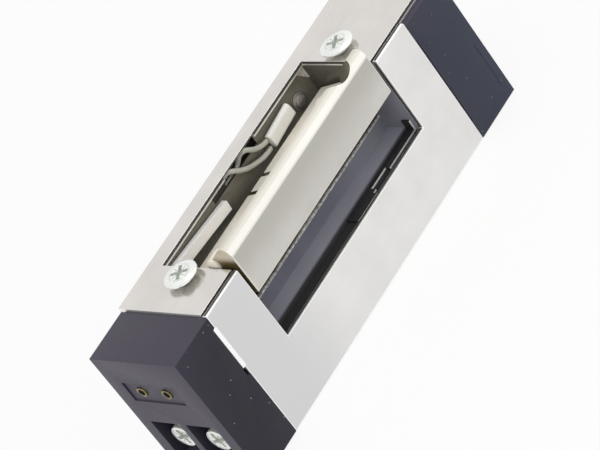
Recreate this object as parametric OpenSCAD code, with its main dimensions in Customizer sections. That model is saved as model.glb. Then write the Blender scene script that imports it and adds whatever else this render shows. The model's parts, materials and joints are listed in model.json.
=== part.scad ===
// Electric door strike, lying on its back with the front face up.
// Places are measured from one corner of the plates: "along" runs from the terminal end,
// "inward" from the lip face, and "down" from the front face. All sizes are in millimetres.

/* [Body] */
// Length of the lip plate, between the two end caps
plate_len = 82; // [78:1:100]
// Depth of the body from the front face to the back
body_depth = 35.5; // [34.5:0.5:42]
// Width of the front plate
face_w = 26.4; // [26:0.1:32]
// How far the front plate stands past the housing on its far side
overhang = 1; // [0.4:0.1:2]
// Thickness of the two steel plates
plate_t = 1.2; // [0.8:0.1:1.4]
// Radius of the lip plate's rounded corner
corner_r = 0.7; // [0.4:0.1:2]
// Gap along the edge between the two plates
seam_gap = 0.7; // [0.3:0.1:1.2]
// Length of the cap at the terminal end
terminal_cap_len = 12.7; // [12:0.1:18]
// Length of the cap at the other end
top_cap_len = 14.3; // [8:0.1:20]
// Wall of the hollow top cap
cap_wall = 2; // [1.2:0.1:3]
// Thickness of the back cover
cover_t = 1; // [0.8:0.1:1.6]

/* [Opening] */
// Plate left between its terminal end and the opening
margin_lower = 12.5; // [12:0.1:16]
// Plate left between the opening and its other end
margin_upper = 11.5; // [11:0.1:16]
// Strip of the front plate left beyond the opening
far_strip = 4.2; // [3.4:0.1:5]
// How far the back of the recess lies from the far wall
rear_w = 12.6; // [12.4:0.1:13.1]
// Wall between the recess and the pocket
divider_t = 1; // [0.7:0.1:1.1]
// Deck between the recess and the solenoid bay
deck_t = 1.1; // [0.8:0.1:1.6]

/* [Keeper] */
// Gap between each end of the keeper and the opening
keeper_gap = 1; // [0.9:0.1:2]
// How far the crest stands above the front face
crest_rise = 4.8; // [3.5:0.1:6]
// Radius of the rounded crest
crest_r = 1.95; // [1.5:0.05:2.4]
// Lean of the bright facet between the flat face and the crest, in degrees
facet_lean = 24; // [16:1:28]
// Slope of the keeper's top, in degrees
slope = 38; // [34:1:42]
// How far in the sharp inner edge of the lip lies
lip_in = 7.07; // [6.5:0.05:7.5]
// How far the flat face reaches below the front face
flat_drop = 7.8; // [6.8:0.1:8]
// How far the flat face lies in from the lip plate's face
keeper_set = 0.15; // [0.05:0.05:0.4]
// Radius of the hollow that takes the latch
pocket_r = 5.25; // [4.8:0.05:5.5]
// Slope of the pocket's floor, in degrees
floor_slope = 14; // [11:1:16]
// Thickness of the pocket's floor
floor_t = 1.3; // [1:0.1:1.5]
// Radius of the keeper's pin
pin_r = 1.5; // [1.2:0.05:1.7]
// Radius of the hub around the pin
hub_r = 3; // [2.7:0.1:3.1]
// Width of the tail that the locking lever stops
tail_w = 8; // [6:0.5:10]
// How far the tail reaches below the pin
tail_len = 7.2; // [6.4:0.1:7.4]
// Width of the two slits in the pocket's floor
slit_w = 1.1; // [0.6:0.1:1.6]
// Distance between the two slits
slit_pitch = 5.4; // [4:0.1:7]

/* [Lock] */
// Radius of the coil's end flanges
flange_r = 5.4; // [5.2:0.05:5.6]
// Length of the solenoid's frame
yoke_len = 29.2; // [26:0.2:32]
// Thickness of the solenoid's frame
yoke_t = 1.1; // [0.8:0.1:1.3]
// Radius of the plunger
plunger_r = 2.5; // [2.3:0.05:2.6]
// Stroke of the plunger
stroke = 1.2; // [1:0.05:1.3]
// Length of the lever's short arm, from its pin to the plunger
fork_arm = 5; // [4.8:0.1:5.2]
// Length of the lever's long arm, from its pin to the nose
nose_arm = 14.5; // [13.5:0.1:15.5]
// Thickness of the locking lever
lever_t = 2.2; // [1.8:0.1:2.4]
// Radius of the lever's pin
lever_pin_r = 1; // [0.8:0.05:1.2]
// Wire diameter of the two springs
spring_wire = 0.5; // [0.4:0.05:0.55]

/* [Sensing] */
// Length of the latch sensing lever, from its pin to the tip
sense_len = 29.8; // [25:0.2:32]
// Height of the sensing lever's bar
sense_h = 2.4; // [2:0.1:2.8]
// Thickness of the sensing lever
sense_t = 1.6; // [1.2:0.1:1.8]
// Length of the switch body
switch_len = 12.8; // [11:0.1:13.5]
// Height of the switch body
switch_h = 6.5; // [5.5:0.1:7]
// Diameter of the wires
wire_dia = 1.2; // [0.8:0.05:1.25]
// Length of the white sleeve over the wire joints
sleeve_len = 9; // [7:0.1:9.6]
// Height of the white sleeve
sleeve_h = 3.7; // [3:0.1:4]

/* [Fasteners] */
// Radius of a face screw's head
face_head_r = 3.9; // [3.4:0.05:4.1]
// Radius of a face screw's shank
face_shank_r = 2; // [1.75:0.05:2.1]
// How far a face screw's head stands proud
face_head_h = 2.1; // [1.6:0.1:2.6]
// Distance from the lip plate's terminal end to the nearest face screw
face_screw_lower = 9.3; // [8.6:0.1:9.9]
// Distance from the lip plate's other end to the nearest face screw
face_screw_upper = 7.7; // [6.6:0.1:8.2]
// Radius of a terminal screw's head
terminal_head_r = 2.9; // [2.5:0.05:3.2]
// Distance between the terminal screws
terminal_pitch = 10.4; // [9.8:0.1:11]
// Distance between the two small sockets
socket_pitch = 7.35; // [6:0.05:8]
// Outer radius of a socket's brass rim
socket_r = 1.35; // [1.1:0.05:1.6]

/* [Hidden] */
$fn = 48;

// Clearances
run_gap = 0.05;
seat_gap = 0.1;
side_gap = 0.4;
plate_end_gap = 0.4;
cut = 1;

// Overall frame
total_len = terminal_cap_len + plate_len + top_cap_len;
mid_along = plate_len + top_cap_len - total_len / 2;
mid_inward = face_w / 2;
face_screw_along = [face_screw_lower, plate_len - face_screw_upper];
house_in = face_w - overhang;
back_in = body_depth - cover_t;
top_end = plate_len + top_cap_len;

// Opening and housing
open_lo = margin_lower;
open_hi = plate_len - margin_upper;
open_mid = (open_lo + open_hi) / 2;
bay_top_gap = 1.1;
coil_seat = 0.2;
plunger_d = back_in - seat_gap - yoke_t - coil_seat - flange_r;
deck_d = plunger_d - flange_r - bay_top_gap;
recess_depth = deck_d - deck_t;
groove_in = 4.6;
groove_deep = 0.6;
groove_d = recess_depth + groove_deep;
far_wall = 2.5;
wall_in = house_in - far_wall;
recess_in = wall_in - rear_w;
compartment_w = 2.5;
bay_wall = 6;
bay_side = 5.4;

// Keeper section, with heights counted up from the front face
keeper_lo = open_lo + keeper_gap;
keeper_hi = open_hi - keeper_gap;
crest_in = keeper_set + crest_r;
crest_up = crest_rise - crest_r;
slope_in = crest_in + crest_r * sin(slope);
slope_up = crest_up + crest_r * cos(slope);
lip_up = slope_up - (lip_in - slope_in) * tan(slope);
pocket_wall = 0.9;
pocket_in = lip_in + pocket_wall + pocket_r;
pocket_up = 0.2;
floor_in = pocket_in - pocket_r * sin(floor_slope);
floor_up = pocket_up - pocket_r * cos(floor_slope);
floor_end_in = wall_in - compartment_w;
floor_end_up = floor_up - (floor_end_in - floor_in) * tan(floor_slope);
pivot_back = 2.2;
pivot_in = recess_in + pivot_back;
pivot_d = 9;
under_in = 4.2;
under_d = 5.2;
toe_in = 2.6;
toe_drop = 0.5;
washer_wall = 0.5;
tail_back = 0.6;
tail_t = 2.7;
slit_len = 3.2;
boss_r = 1.7;
boss_in = 7.2;
boss_up = -0.1;
boss_proud = 0.6;
boss_len = 4.8;
bulge_r = 2.1;
bulge_in = 5.6;
bulge_up = 0.4;
bulge_back = 12.2;
bite_r = 4.5;
bite_back = 7.3;
bite_in = 10.15;
bite_up = 0.15;
bite_lean = 45;
bite_len = 12;

// Divider, low enough that the keeper's underside clears it when the keeper is open
divider_below = 7.3;
divider_d = pivot_d + divider_below;
tail_in = recess_in + divider_t + tail_back;
tail_end = pivot_d + tail_len;

// Keeper spring
spring_r = 2.35;
spring_turns = 3.25;
spring_pitch = 1;
keeper_spring_len = spring_turns * spring_pitch;
keeper_spring_lo = keeper_hi - keeper_spring_len - side_gap;
spring_anchor = 2;
leg_share = 0.253;
leg_drop = 2.55;
leg_end = [2.5, 2.3];
leg_from = [under_in + leg_share * (pivot_in - under_in), under_d + leg_drop];
leg_to = [pivot_in - leg_end[0], pivot_d + leg_end[1]];
lip_leg = [leg_from, (leg_from + leg_to) / 2, leg_to];

// Locking lever and solenoid
lever_in = tail_in + tail_t + side_gap;
lever_mid = lever_in + lever_t / 2;
lever_along = open_mid + nose_arm;
lever_d = plunger_d - fork_arm;
arm_rise = 3;
arm_h = 2.1;
nose_half = 1.4;
nose_gap = 1.4;
nose_top = tail_end + nose_gap;
fork_half = 2.2;
fork_pin_r = 0.8;
fork_gap = 0.3;
fork_below = 1.9;
lever_hub_r = 2;
bracket_t = 2.4;
bracket_half = 3;
bracket_below = 2;
yoke_back = 9.4;
yoke_hi = lever_along - yoke_back;
yoke_lo = yoke_hi - yoke_len;
yoke_half = 6.2;
flange_t = 1;
bobbin_wall = 0.7;
winding_gap = 0.3;
core_len = 10.1;
air_gap = 0.6;
plunger_lo = yoke_lo + yoke_t + core_len + stroke + air_gap;
plunger_past = 4;
plunger_hi = lever_along + plunger_past;
slot_back = 4.6;
slot_gap = 0.2;
slot_lo = lever_along - slot_back;
ring_t = 0.6;
ring_wall = 1;
ring_back = 0.6;
ring_lo = slot_lo - ring_t - ring_back;

// Latch sensing lever, tilted a little as it rests
sense_along = 4;
sense_d = 2.7;
sense_tilt = 4.1;
sense_side = 0.2;
sense_in = wall_in - sense_side - sense_t;
sense_pin_r = 0.7;
sense_pin_deep = 2;
sense_hub_r = 1.1;
sense_foot = 10;
foot_w = 2;
switch_lo = 6;
switch_w = 5.4;
switch_top = 9.4;
button_proud = 0.8;
button_deep = 1.2;
foot_gap = 0.2;
foot_end = switch_top - button_proud - foot_gap;

// End caps
terminal_up = 9.7;
terminal_d = body_depth - terminal_up;
terminal_mid = house_in / 2;
terminal_recess = 1.3;
terminal_head_t = 1.8;
terminal_shank_r = 1.5;
pocket_half_w = 4.25;
pocket_half_h = 6;
clamp_front = 4;
clamp_back = 3;
socket_from_wall = 9.1;
socket_mid = wall_in - socket_from_wall;
socket_d = 10.3;
socket_bore = 0.8;
field_deep = 0.4;
field_half_w = 7.6;
field_half_h = 2.8;
chamber_deep = 4;
chamber_below = 3;
chamber_side = 2.2;
peg_r = 1.5;
peg_len = 4;
peg_near = 4.2;
peg_side = 7.2;
peg_places = [[peg_near, 15.4], [terminal_mid + peg_side, 18.6]];
cap_notch = [15.2, 17.2];
cap_notch_deep = 0.8;
cap_groove = 0.4;
cap_groove_ends = [5.7, 30.3];
end_line_in = 2.4;
end_line_deep = 0.12;
end_line_ends = [19.4, 32.4];
tab_gap = 0.7;
tab_deep = 1.1;
tab_start = 3.3;
tab_ends = [tab_start, cap_notch[0]];
cap_drop = 0.4;

// Wires: points chosen by hand, as along, inward from the far wall, down
wire_sides = 8;
wire_a_route = [[51.5, -1, 4.2], [49.6, -1, 3.8], [47.6, -0.95, 2.8], [46.4, -0.8, 1.7],
    [45.6, -0.3, 1.15], [44.6, 0.6, 1.5], [43.4, 1.2, 2.8], [42, 1.2, 3.5], [40, 1.2, 3.5],
    [20, 1.2, 3.5], [2, 1.2, 3.5], [-0.7, 0.9, 4], [-1.8, -0.9, 6.2],
    [-1.9, -3.5, 9], [-2.3, -5.1, 10.2], [-3.2, -5.425, 10.3], [-3.9, -5.425, 10.3]];
wire_b_route = [[51.4, -1.1, 6.1], [48.4, -1.05, 5.9], [46, -1, 5.2], [43.6, -1, 4.2],
    [41.4, -0.95, 2.7], [40, -0.6, 1.4], [39.2, 0.2, 1.15], [38.2, 0.9, 1.6], [37, 1.2, 2],
    [35, 1.2, 2], [20, 1.2, 2], [2, 1.2, 2], [-0.6, 0.8, 2.2],
    [-1.8, -1.9, 3.6], [-1.9, -6.9, 6.6], [-1.9, -10.9, 9.4], [-2.4, -12.5, 10.2], [-3.2, -12.775, 10.3],
    [-3.9, -12.775, 10.3]];
route_steps = 3;

// Leads from the coil's lower flange through the frame to the two terminals
lead_a_side = 1.9;
lead_b_side = 3.1;
lead_b_up = 0.7;
lead_start = 1;
lead_out = 1.4;
lead_turn = 2.6;
lead_bend = 0.8;
lead_lift = 0.1;
lead_swing = 1.1;
lead_dip = 0.2;
lead_hole_a = [lever_mid + lead_a_side, terminal_d];
lead_hole_b = [lever_mid - lead_b_side, plunger_d - lead_b_up];
lead_far = terminal_mid + terminal_pitch / 2;
lead_near = terminal_mid - terminal_pitch / 2;
lead_a_route = [[yoke_lo + lead_start, lead_hole_a[0], lead_hole_a[1]],
    [yoke_lo - lead_out, lead_hole_a[0], lead_hole_a[1]],
    [9, lead_far, terminal_d], [4, lead_far, terminal_d], [-2.9, lead_far, terminal_d]];
lead_b_route = [[yoke_lo + lead_start, lead_hole_b[0], lead_hole_b[1]],
    [yoke_lo - lead_bend, lead_hole_b[0], lead_hole_b[1]],
    [yoke_lo - lead_turn, lead_hole_b[0] - lead_bend, lead_hole_b[1] - lead_lift],
    [12, lead_near + lead_swing, terminal_d + lead_dip],
    [9, lead_near, terminal_d], [4, lead_near, terminal_d], [-2.9, lead_near, terminal_d]];

// Channel for the wires in the housing's far wall
channel_skin = 0.5;
channel_w = 1.4;
channel_deep = 3.3;
channel_end = 50;
notch_lo = 37.2;
notch_hi = 49.6;
notch_deep = 1.9;
relief_t = 0.4;
relief_in = 2;
rebate_lo = 32.2;
rebate_in = 0.3;
corner_len = 3;
corner_drop = 3.6;
corner_deep = 1.2;

// Sleeve and rivet on the far wall
sleeve_along = 56.35;
sleeve_d = 4.7;
sleeve_tilt = 5;
sleeve_t = 1.9;
rivet_along = 64.7;
rivet_d = 6.2;
rivet_head_r = 1.5;
rivet_head_t = 0.7;
rivet_ring_r = 2.1;
rivet_ring_t = 0.25;
rivet_shank_r = 0.6;

// Liner in the recess
liner_t = 0.5;
liner_start = 2.4;
liner_lo = open_mid + liner_start;
liner_in = 2.3;
liner_step = 8;
notch_start = 17.5;
notch_len = 6;
liner_notch = [open_hi - notch_start, open_hi - notch_start + notch_len];
liner_notch_in = 3.6;
liner_up = 3;

// Screws
face_screw_tip = 6.2;
face_rim = 0.35;
face_dome = 0.5;
crown_inset = 1.7;
face_crown_r = face_head_r - crown_inset;
face_cross_turn = 25;
terminal_cross_turn = 20;
cross_w = 0.9;
cross_len = 4.2;
cross_deep = 1.1;
tick_len = 3.8;
tick_w = 0.22;
tick_deep = 0.12;
cover_screw_in = [3, 3.4];
cover_head_r = 2;
cover_shank_r = 1.1;
cover_screw_len = 6;

function place(p) = [p[0] - mid_along, p[1] - mid_inward, body_depth - p[2]];

// A block between two limits along, inward and down
module block(along, inward, down) {
    translate(place([along[0], inward[0], down[1]]))
        cube([along[1] - along[0], inward[1] - inward[0], down[1] - down[0]]);
}

// Round rods along the strike, across it and down into it
module rod_along(inward, down, r, along) {
    translate(place([along[0], inward, down])) rotate([0, 90, 0]) cylinder(r = r, h = along[1] - along[0]);
}

module rod_across(along, down, r, inward) {
    translate(place([along, inward[0], down])) rotate([-90, 0, 0]) cylinder(r = r, h = inward[1] - inward[0]);
}

module rod_down(along, inward, r, down) {
    translate(place([along, inward, down[1]])) cylinder(r = r, h = down[1] - down[0]);
}

// A flat section, drawn as inward and up, drawn out along the strike
module section_along(along) {
    translate(place([along[0], 0, 0])) rotate([90, 0, 90]) linear_extrude(along[1] - along[0]) children();
}

// A flat profile, drawn as along and up, drawn out across the strike
module profile_across(inward) {
    translate(place([0, inward[1], 0])) rotate([90, 0, 0]) linear_extrude(inward[1] - inward[0]) children();
}

// A round tube swept along points, as one closed skin
function unit(v) = v / norm(v);
function tangent(p, i) = unit(p[min(i + 1, len(p) - 1)] - p[max(i - 1, 0)]);
function ring(p, i, r, sides, lean) =
    let (t = tangent(p, i), n = unit(cross(t, lean)), b = cross(t, n))
    [for (k = [0 : sides - 1]) p[i] + r * (cos(360 * k / sides) * n + sin(360 * k / sides) * b)];

module tube(p, r, sides, lean) {
    count = len(p);
    points = [for (i = [0 : count - 1]) each ring(p, i, r, sides, lean)];
    walls = [for (i = [0 : count - 2], k = [0 : sides - 1])
        let (a = i * sides + k, b = i * sides + (k + 1) % sides)
        each [[a, a + sides, b], [b, a + sides, b + sides]]];
    last = (count - 1) * sides;
    ends = [for (k = [1 : sides - 2]) each [[0, k, k + 1], [last, last + k + 1, last + k]]];
    polyhedron(points, concat(walls, ends));
}

// A smooth curve through hand-chosen points
function knot(p, i) = p[max(0, min(i, len(p) - 1))];
function smooth(p, i, t) =
    let (a = knot(p, i - 1), b = knot(p, i), c = knot(p, i + 1), d = knot(p, i + 2))
    0.5 * ((2 * b) + (c - a) * t + (2 * a - 5 * b + 4 * c - d) * t * t
        + (3 * b - a - 3 * c + d) * t * t * t);
function curve(p, steps) = concat(
    [for (i = [0 : len(p) - 2], s = [0 : steps - 1]) place(smooth(p, i, s / steps))],
    [place(p[len(p) - 1])]);

// A route given from the far wall
function from_wall(p) = [for (q = p) [q[0], wall_in + q[1], q[2]]];

// Curls of a spring, and the least gap between one curl and the next
curl_rings = 8;
function helix(r, pitch, turns, start) = [for (k = [0 : curl_rings * turns])
    let (a = 360 * k / curl_rings + start) [pitch * k / curl_rings, r * cos(a), r * sin(a)]];
function self_gap(p, wire) = min([for (i = [0 : len(p) - 1], j = [i + curl_rings / 2 : 1 : len(p) - 1])
    norm(p[i] - p[j])]) - wire;

module cross_recess(depth) {
    for (turn = [0, 90]) rotate([0, 0, turn])
        translate([-cross_len / 2, -cross_w / 2, -depth]) cube([cross_len, cross_w, depth + cut]);
    for (turn = [45, 135]) rotate([0, 0, turn])
        translate([-tick_len / 2, -tick_w / 2, -tick_deep]) cube([tick_len, tick_w, tick_deep + cut]);
}

module front_plate() {
    color("#d8d4d0") difference() {
        block([plate_end_gap, top_end], [plate_t + seam_gap, face_w], [0, plate_t]);
        block([open_lo, open_hi], [-cut, face_w - far_strip], [-cut, plate_t + cut]);
        block([notch_lo, notch_hi], [face_w - far_strip - cut, wall_in + relief_in],
            [relief_t, plate_t + cut]);
        for (a = face_screw_along)
            rod_down(a, mid_inward, face_shank_r + side_gap / 2, [-cut, plate_t + cut]);
    }
}

module lip_plate() {
    color("#e0e0de") difference() {
        union() {
            block([0, plate_len], [0, plate_t], [0, body_depth]);
            block([seat_gap - tab_gap, cut], [0, tab_deep - seat_gap],
                [tab_ends[0] + seat_gap, tab_ends[1]]);
        }
        block([open_lo, open_hi], [-cut, plate_t + cut], [-cut, recess_depth]);
        difference() {
            block([plate_len - corner_r, plate_len + cut], [-cut, plate_t + cut], [-cut, corner_r]);
            rod_across(plate_len - corner_r, corner_r, corner_r, [-2 * cut, plate_t + 2 * cut]);
        }
    }
}

// The hollow that the keeper turns in, with the recess in front of the divider and the groove in its floor
module keeper_hollow() {
    block([open_lo, open_hi], [-cut, recess_in], [-cut, recess_depth]);
    block([open_lo, open_hi], [plate_t, groove_in], [recess_depth - cut, groove_d]);
    block([open_lo, open_hi], [recess_in + divider_t, wall_in], [-cut, recess_depth]);
    block([open_lo, open_hi], [recess_in - cut, recess_in + divider_t + cut], [-cut, divider_d]);
}

// Channel in the far wall, where the two wires run to the terminal end
module wire_channel() {
    block([-cut, channel_end], [wall_in + channel_skin, wall_in + channel_skin + channel_w],
        [0, plate_t + channel_deep]);
    block([notch_lo, notch_hi], [wall_in - cut, wall_in + channel_skin + cut], [0, plate_t + notch_deep]);
    block([rebate_lo, notch_lo + cut], [wall_in - cut, wall_in + rebate_in], [0, plate_t + notch_deep]);
}

// Three-sided pocket in the far wall's upper corner
module corner_pocket() {
    profile_across([wall_in - cut, wall_in + corner_deep]) polygon([[open_hi, -plate_t],
        [open_hi, -plate_t - corner_drop], [open_hi - corner_len, -plate_t]]);
}

// Room for the sensing lever and the switch in the housing's lower end
module sensing_room() {
    block([sense_along - sense_hub_r - side_gap, open_lo + cut], [sense_in - side_gap, wall_in],
        [plate_t, switch_top]);
    block([switch_lo - seat_gap, open_lo + cut], [wall_in - switch_w - seat_gap, wall_in],
        [switch_top - seat_gap, switch_top + switch_h + seat_gap]);
    rod_across(sense_along, sense_d, sense_pin_r, [sense_in - sense_pin_deep, wall_in + channel_skin]);
}

module lever_brackets() {
    for (side = [lever_in - side_gap - bracket_t, lever_in + lever_t + side_gap])
        block([lever_along - bracket_half, lever_along + bracket_half], [side, side + bracket_t],
            [deck_d - deck_t, lever_d + bracket_below]);
}

module screw_holes() {
    for (a = face_screw_along)
        rod_down(a, mid_inward, face_shank_r + run_gap, [0, face_screw_tip + cut / 2]);
    for (a = [cover_screw_in[0], plate_len - cover_screw_in[0]])
        for (i = [plate_t + cover_screw_in[1], house_in - cover_screw_in[1]])
            rod_down(a, i, cover_shank_r, [body_depth - cover_screw_len - cut / 2, body_depth]);
}

module housing() {
    color("#6e6e76") difference() {
        union() {
            difference() {
                block([0, plate_len], [plate_t, house_in], [plate_t, back_in]);
                keeper_hollow();
                block([bay_wall, plate_len - bay_wall], [bay_side, wall_in], [deck_d, body_depth]);
                block([lever_along - nose_arm - nose_half - cut, lever_along + lever_hub_r + cut / 2],
                    [lever_in - side_gap, lever_in + lever_t + side_gap], [recess_depth - cut, deck_d + cut]);
            }
            lever_brackets();
        }
        rod_across(lever_along, lever_d, lever_pin_r,
            [lever_in - side_gap - bracket_t - cut, lever_in + lever_t + side_gap + bracket_t + cut]);
        rod_along(pivot_in, pivot_d, pin_r, [open_lo - peg_len, open_hi + peg_len]);
        rod_along(pivot_in + spring_r, pivot_d, spring_wire / 2 + seat_gap,
            [open_hi - cut, open_hi + spring_anchor]);
        wire_channel();
        corner_pocket();
        sensing_room();
        screw_holes();
        rod_across(rivet_along, rivet_d, rivet_shank_r, [wall_in - cut, house_in - channel_skin]);
        for (p = peg_places) {
            rod_along(p[0], p[1], peg_r + run_gap, [-cut, peg_len + seat_gap]);
            rod_along(p[0], p[1], peg_r + run_gap, [plate_len - peg_len - seat_gap, plate_len + cut]);
        }
        for (side = [-1, 1])
            rod_along(terminal_mid + side * terminal_pitch / 2, terminal_d, wire_dia / 2 + seat_gap,
                [-cut, bay_wall + cut]);
    }
}

module back_cover() {
    color("#b9bab8") difference() {
        block([0, plate_len], [plate_t, house_in], [back_in, body_depth]);
        cover_screw_places() {
            cylinder(r = cover_shank_r + seat_gap, h = 3 * cover_t, center = true);
            translate([0, 0, -cut]) cylinder(r = cover_head_r + seat_gap, h = cut + cover_t / 2);
        }
    }
}

module cover_screw_places() {
    for (a = [cover_screw_in[0], plate_len - cover_screw_in[0]])
        for (i = [plate_t + cover_screw_in[1], house_in - cover_screw_in[1]])
            translate(place([a, i, body_depth])) children();
}

module cover_screws() {
    color("#c8ccc8") cover_screw_places() difference() {
        union() {
            cylinder(r = cover_head_r, h = cover_t / 2);
            cylinder(r = cover_shank_r, h = cover_screw_len);
        }
        rotate([180, 0, 0]) scale(cover_head_r / terminal_head_r) cross_recess(cover_t / 2);
    }
}

// A cap's pegs plug into the housing's end
module cap_pegs(along) {
    for (p = peg_places) rod_along(p[0], p[1], peg_r, along);
}

module terminal_pockets() {
    for (side = [-1, 1]) {
        i = terminal_mid + side * terminal_pitch / 2;
        block([-terminal_cap_len - cut, -clamp_back], [i - pocket_half_w, i + pocket_half_w],
            [terminal_d - pocket_half_h, terminal_d + pocket_half_h]);
        rod_along(i, terminal_d, wire_dia / 2 + seat_gap, [-clamp_back - cut, cut]);
    }
}

module terminal_cap() {
    color("#3c3a42") difference() {
        union() {
            block([-terminal_cap_len, 0], [0, house_in], [cap_drop, body_depth]);
            cap_pegs([-cut, peg_len]);
        }
        terminal_pockets();
        block([-terminal_cap_len - cut, -terminal_cap_len + field_deep],
            [socket_mid - field_half_w, socket_mid + field_half_w],
            [socket_d - field_half_h, socket_d + field_half_h]);
        block([-chamber_deep, cut],
            [socket_mid - socket_pitch / 2 - chamber_side, wall_in + channel_skin + channel_w],
            [plate_t, socket_d + chamber_below]);
        for (side = [-0.5, 0.5])
            rod_along(socket_mid + side * socket_pitch, socket_d, socket_r,
                [-terminal_cap_len - cut, -chamber_deep + cut]);
        block([-cap_notch_deep, cut], [-cut, plate_t], cap_notch);
        block([-tab_gap, cut], [-cut, tab_deep], tab_ends);
    }
}

module top_cap() {
    color("#3c3a42") difference() {
        union() {
            difference() {
                block([plate_len, top_end], [0, house_in], [plate_t, body_depth]);
                block([plate_len - cut, top_end - cap_wall], [cap_wall, house_in - cap_wall],
                    [plate_t + cap_wall, body_depth - cap_wall]);
            }
            for (p = peg_places) rod_along(p[0], p[1], peg_r + cap_wall / 2, [plate_len, top_end - cut]);
            cap_pegs([plate_len - peg_len, plate_len + cut]);
        }
        block([plate_len - cut, plate_len + cap_groove], [-cut, cap_groove], cap_groove_ends);
        block([top_end - end_line_in, top_end - end_line_in + cap_groove], [-cut, end_line_deep],
            end_line_ends);
    }
}

keeper_outline = [
    [keeper_set, crest_up],
    [slope_in, slope_up],
    [lip_in, lip_up],
    [pocket_in - pocket_r, pocket_up],
    [floor_in, floor_up],
    [floor_end_in, floor_end_up],
    [floor_end_in - floor_t / 4, floor_end_up - floor_t],
    [pivot_in + hub_r, floor_up - (pivot_in + hub_r - floor_in) * tan(floor_slope) - floor_t],
    [pivot_in, -pivot_d],
    [pivot_in - hub_r * sin(45), -pivot_d - hub_r * cos(45)],
    [under_in, -under_d],
    [toe_in, -flat_drop - toe_drop],
    [keeper_set, -flat_drop]];

module keeper_section() {
    difference() {
        union() {
            polygon(keeper_outline);
            translate([crest_in, crest_up]) circle(crest_r);
            translate([pivot_in, -pivot_d]) circle(hub_r);
        }
        translate([pocket_in, pocket_up]) circle(pocket_r);
        translate([keeper_set, crest_up]) rotate(-facet_lean)
            translate([-crest_r, 0]) square([crest_r, 2 * crest_r]);
    }
}

// Round stop boss at the lip's lower end, and the bulge below the bite at its other end
module lip_bosses() {
    lo = keeper_lo - boss_proud;
    rod_along(boss_in, -boss_up, boss_r, [lo, lo + boss_len - boss_r]);
    translate(place([lo + boss_len - boss_r, boss_in, -boss_up])) sphere(boss_r);
    translate(place([keeper_hi - bulge_back, bulge_in, -bulge_up])) sphere(bulge_r);
}

module keeper() {
    color("#c4c3bc") difference() {
        union() {
            section_along([keeper_lo, keeper_hi]) keeper_section();
            lip_bosses();
            block([open_mid - tail_w / 2, open_mid + tail_w / 2], [tail_in, tail_in + tail_t],
                [pivot_d, tail_end]);
        }
        translate(place([keeper_hi - bite_back, bite_in, -bite_up])) rotate([bite_lean, 0, 0])
            cylinder(r = bite_r, h = bite_len);
        rod_along(pivot_in, pivot_d, pin_r + run_gap, [keeper_lo - cut, keeper_hi + cut]);
        rod_along(pivot_in, pivot_d, hub_r + seat_gap, [keeper_spring_lo - side_gap, keeper_hi + cut]);
        for (side = [-0.5, 0.5])
            block([open_mid + side * slit_pitch - slit_w / 2, open_mid + side * slit_pitch + slit_w / 2],
                [floor_end_in - slit_len, floor_end_in + cut], [0, pivot_d]);
    }
}

module keeper_pin() {
    color("#b4b6b6") rod_along(pivot_in, pivot_d, pin_r, [open_lo - peg_len, open_hi + peg_len]);
}

module keeper_washers() {
    color("#e8e2d0") for (a = [[open_lo, keeper_lo - seat_gap], [keeper_hi + seat_gap, open_hi]])
        difference() {
            rod_along(pivot_in, pivot_d, pin_r + washer_wall, a);
            rod_along(pivot_in, pivot_d, pin_r + run_gap, [a[0] - cut, a[1] + cut]);
        }
}

// Torsion spring round the pin: one leg under the keeper's lip, the other held in the housing's end
keeper_curls = [for (q = helix(spring_r, spring_pitch, spring_turns, 270))
    q + place([keeper_spring_lo, pivot_in, pivot_d])];
keeper_spring_path = concat(
    [for (p = lip_leg) place([keeper_spring_lo, p[0], p[1]])], keeper_curls,
    [for (a = [keeper_hi, open_hi, open_hi + spring_anchor - seat_gap])
        place([a, pivot_in + spring_r, pivot_d])]);

module keeper_spring() {
    color("#8f9294") tube(keeper_spring_path, spring_wire / 2, 6, [0.6, 0.3, 0.5]);
    echo("keeper spring least gap", self_gap(keeper_curls, spring_wire));
}

module bobbin() {
    bore = plunger_r + run_gap;
    lo = yoke_lo + yoke_t;
    hi = yoke_hi - yoke_t;
    color("#1f2021") difference() {
        union() {
            rod_along(lever_mid, plunger_d, bore + bobbin_wall, [lo, hi]);
            rod_along(lever_mid, plunger_d, flange_r, [lo, lo + flange_t]);
            rod_along(lever_mid, plunger_d, flange_r, [hi - flange_t, hi]);
        }
        rod_along(lever_mid, plunger_d, bore, [lo - cut, hi + cut]);
    }
}

module coil_winding() {
    lo = yoke_lo + yoke_t + flange_t;
    hi = yoke_hi - yoke_t - flange_t;
    color("#a4562a") difference() {
        rod_along(lever_mid, plunger_d, flange_r - winding_gap, [lo, hi]);
        rod_along(lever_mid, plunger_d, plunger_r + run_gap + bobbin_wall, [lo - cut, hi + cut]);
    }
}

module solenoid_yoke() {
    bottom = plunger_d + flange_r + coil_seat;
    color("#9ea2a3") difference() {
        union() {
            for (a = [yoke_lo, yoke_hi - yoke_t])
                block([a, a + yoke_t], [lever_mid - yoke_half, lever_mid + yoke_half],
                    [plunger_d - flange_r, bottom + yoke_t]);
            block([yoke_lo, yoke_hi], [lever_mid - yoke_half, lever_mid + yoke_half],
                [bottom, bottom + yoke_t]);
        }
        rod_along(lever_mid, plunger_d, plunger_r + run_gap, [yoke_hi - yoke_t - cut, yoke_hi + cut]);
        for (p = [lead_hole_a, lead_hole_b])
            rod_along(p[0], p[1], wire_dia / 2 + seat_gap, [yoke_lo - cut, yoke_lo + yoke_t + cut]);
    }
}

module solenoid_core() {
    color("#8d9192") rod_along(lever_mid, plunger_d, plunger_r,
        [yoke_lo + yoke_t, yoke_lo + yoke_t + core_len]);
}

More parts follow.
